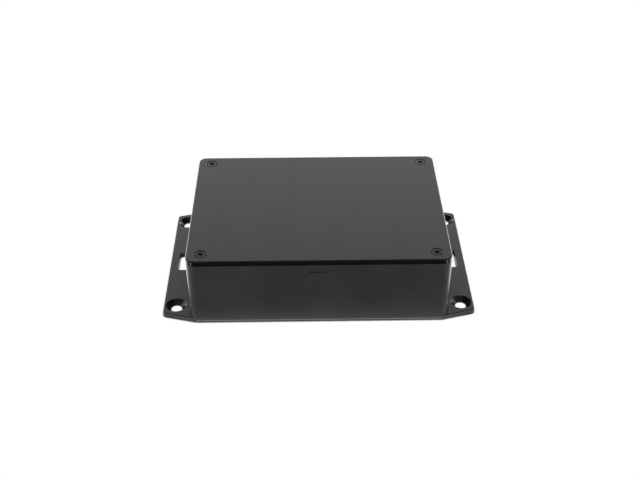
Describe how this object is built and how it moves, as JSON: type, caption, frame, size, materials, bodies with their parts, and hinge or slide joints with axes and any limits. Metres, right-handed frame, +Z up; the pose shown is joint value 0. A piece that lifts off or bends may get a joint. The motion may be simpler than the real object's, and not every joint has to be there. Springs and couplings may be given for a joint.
{
  "type": "brake controller unit",
  "caption": "Flanged black plastic box with a screwed-down lid that holds a trailer brake controller's electronics, with a cable gland in its back wall.",
  "frame": {"origin": "centre of the four mounting holes, on the underside", "axes": "+X along the box from flange to flange, +Y from the front wall to the back wall with the gland, +Z up out of the lid"},
  "size_m": [0.1466, 0.1125, 0.035],
  "materials": {
    "case_plastic": "fine matte texture, black",
    "lid_plastic": "fine matte top, polished edge, black",
    "seal_rubber": "smooth black rubber",
    "brass": "turned, knurled",
    "board_laminate": "green solder mask",
    "plated_steel": "zinc plated",
    "black_steel": "black oxide",
    "tinned_metal": "tin plated",
    "terminal_plastic": "green moulding",
    "black_plastic": "black moulding",
    "fuse_plastic": "clear amber moulding",
    "aluminium": "extruded, plain",
    "package_epoxy": "moulded epoxy",
    "pad_rubber": "grey silicone pad",
    "can_aluminium": "drawn can",
    "sleeve_plastic": "shrunk sleeve, dark blue",
    "ferrite": "coated ferrite ring",
    "copper_wire": "enamelled copper",
    "shunt_metal": "resistance alloy strip",
    "relay_plastic": "blue moulding",
    "light_plastic": "red tinted lens",
    "chip_ceramic": "ceramic chip",
    "trimmer_plastic": "blue moulding",
    "rotor_plastic": "white moulding",
    "gold_metal": "gold plated",
    "gland_plastic": "black nylon"
  },
  "bodies": {
    "case": {"board_screws": "plated_steel", "button_housing": "tinned_metal", "capacitor_cans": "can_aluminium", "capacitor_sleeves": "sleeve_plastic", "chip_capacitors": "chip_ceramic", "chip_resistors": "package_epoxy", "choke_core": "ferrite", "choke_winding": "copper_wire", "circuit_board": "board_laminate", "crystal": "tinned_metal", "diode_body": "package_epoxy", "diode_tab": "tinned_metal", "enclosure_body": "case_plastic", "fuse_clips": "tinned_metal", "fuse_holder": "black_plastic", "gland_body": "gland_plastic", "gland_locknut": "gland_plastic", "gland_seal": "seal_rubber", "gland_washer": "seal_rubber", "header_housing": "black_plastic", "header_pins": "gold_metal", "heat_sink": "aluminium", "insulating_pads": "pad_rubber", "lid_gasket": "seal_rubber", "microcontroller": "package_epoxy", "microcontroller_leads": "tinned_metal", "motion_sensor": "package_epoxy", "package_screws": "plated_steel", "radio_board": "board_laminate", "radio_shield": "tinned_metal", "relay_base": "black_plastic", "relay_cover": "relay_plastic", "shunt_resistor": "shunt_metal", "status_light": "light_plastic", "terminal_clamps": "plated_steel", "terminal_housing": "terminal_plastic", "threaded_inserts": "brass", "transistor_bodies": "package_epoxy", "transistor_tabs": "tinned_metal", "trimmer_housing": "trimmer_plastic", "voltage_regulator": "package_epoxy"},
    "lid": {"lid": "lid_plastic"},
    "fuse": {"fuse_body": "fuse_plastic", "fuse_blades": "tinned_metal"},
    "gain_rotor": {"trimmer_rotor": "rotor_plastic"},
    "test_plunger": {"button_plunger": "black_plastic"},
    "gland_nut": {"gland_cap": "gland_plastic"},
    "front_left_lid_screw": {"lid_screw_front_left": "black_steel"},
    "front_right_lid_screw": {"lid_screw_front_right": "black_steel"},
    "back_left_lid_screw": {"lid_screw_back_left": "black_steel"},
    "back_right_lid_screw": {"lid_screw_back_right": "black_steel"},
    "clamp_screw_1": {"terminal_screw_1": "plated_steel"},
    "clamp_screw_2": {"terminal_screw_2": "plated_steel"},
    "clamp_screw_3": {"terminal_screw_3": "plated_steel"},
    "clamp_screw_4": {"terminal_screw_4": "plated_steel"}
  },
  "joints": [
    {"name": "lid_lift", "type": "slide", "parent": "case", "child": "lid", "axis": [0, 0, 1], "range_m": [0, 0.08]},
    {"name": "front_left_screw_out", "type": "slide", "parent": "lid", "child": "front_left_lid_screw", "axis": [0, 0, 1], "range_m": [0, 0.016]},
    {"name": "front_right_screw_out", "type": "slide", "parent": "lid", "child": "front_right_lid_screw", "axis": [0, 0, 1], "range_m": [0, 0.016]},
    {"name": "back_left_screw_out", "type": "slide", "parent": "lid", "child": "back_left_lid_screw", "axis": [0, 0, 1], "range_m": [0, 0.016]},
    {"name": "back_right_screw_out", "type": "slide", "parent": "lid", "child": "back_right_lid_screw", "axis": [0, 0, 1], "range_m": [0, 0.016]},
    {"name": "fuse_pull", "type": "slide", "parent": "case", "child": "fuse", "axis": [0, 0, 1], "range_m": [0, 0.0055]},
    {"name": "gain_turn", "type": "hinge", "parent": "case", "child": "gain_rotor", "pos_m": [-0.0205, -0.008, 0.0131], "axis": [0, 0, 1], "range_deg": [-135, 135]},
    {"name": "test_press", "type": "slide", "parent": "case", "child": "test_plunger", "axis": [0, 0, -1], "range_m": [0, 0.0005], "stiffness_N_per_m": 600},
    {"name": "gland_nut_turn", "type": "hinge", "parent": "case", "child": "gland_nut", "pos_m": [0, 0.055, 0.0145], "axis": [0, 1, 0], "range_deg": [-1350, 0]},
    {"name": "clamp_screw_1_turn", "type": "hinge", "parent": "case", "child": "clamp_screw_1", "pos_m": [-0.00975, 0.025, 0.02], "axis": [0, 0, 1], "range_deg": [0, 1530]},
    {"name": "clamp_screw_2_turn", "type": "hinge", "parent": "case", "child": "clamp_screw_2", "pos_m": [-0.00325, 0.025, 0.02], "axis": [0, 0, 1], "range_deg": [0, 1530]},
    {"name": "clamp_screw_3_turn", "type": "hinge", "parent": "case", "child": "clamp_screw_3", "pos_m": [0.00325, 0.025, 0.02], "axis": [0, 0, 1], "range_deg": [0, 1530]},
    {"name": "clamp_screw_4_turn", "type": "hinge", "parent": "case", "child": "clamp_screw_4", "pos_m": [0.00975, 0.025, 0.02], "axis": [0, 0, 1], "range_deg": [0, 1530]}
  ]
}
